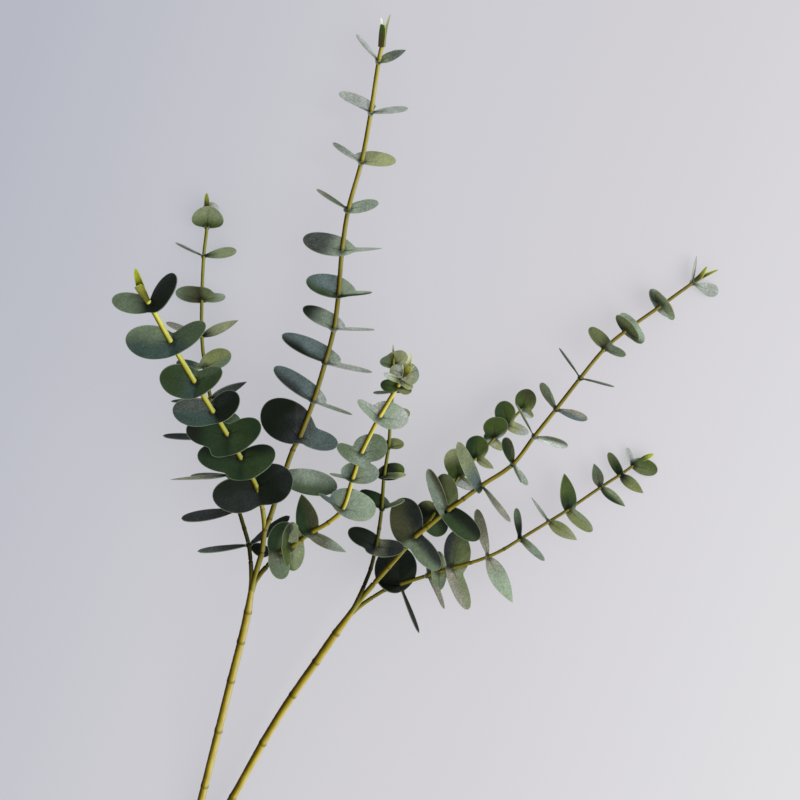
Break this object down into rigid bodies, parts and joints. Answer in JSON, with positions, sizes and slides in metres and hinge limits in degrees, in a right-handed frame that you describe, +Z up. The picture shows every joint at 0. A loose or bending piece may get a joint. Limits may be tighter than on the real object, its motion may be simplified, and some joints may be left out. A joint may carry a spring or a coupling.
{
  "type": "eucalyptus branch",
  "caption": "Cut eucalyptus branch laid on a level surface: a short trunk forks into two long arms, each ending in a crown of leafy twigs with paired round leaves and a young bud at each tip.",
  "frame": {"origin": "middle of the branch's box, on the level surface that it lies on", "axes": "+Z up, +Y along the branch from its cut end to its tallest tip, +X to the right as seen from above"},
  "size_m": [0.4877, 0.79, 0.2117],
  "materials": {
    "olive_bark": "satin",
    "eucalyptus_leaf": "matte",
    "young_bud": "satin"
  },
  "bodies": {
    "root": {"main_stem": "olive_bark", "twig_front_left": "eucalyptus_leaf", "twig_back_left": "eucalyptus_leaf", "twig_tall": "eucalyptus_leaf", "twig_middle": "eucalyptus_leaf", "twig_inner": "eucalyptus_leaf", "twig_upper_right": "eucalyptus_leaf", "twig_lower_right": "eucalyptus_leaf", "twig_short_back": "eucalyptus_leaf", "bud_front_left": "young_bud", "bud_back_left": "young_bud", "bud_tall": "young_bud", "bud_middle": "young_bud", "bud_inner": "young_bud", "bud_upper_right": "young_bud", "bud_lower_right": "young_bud", "bud_short_back": "young_bud"}
  },
  "joints": []
}
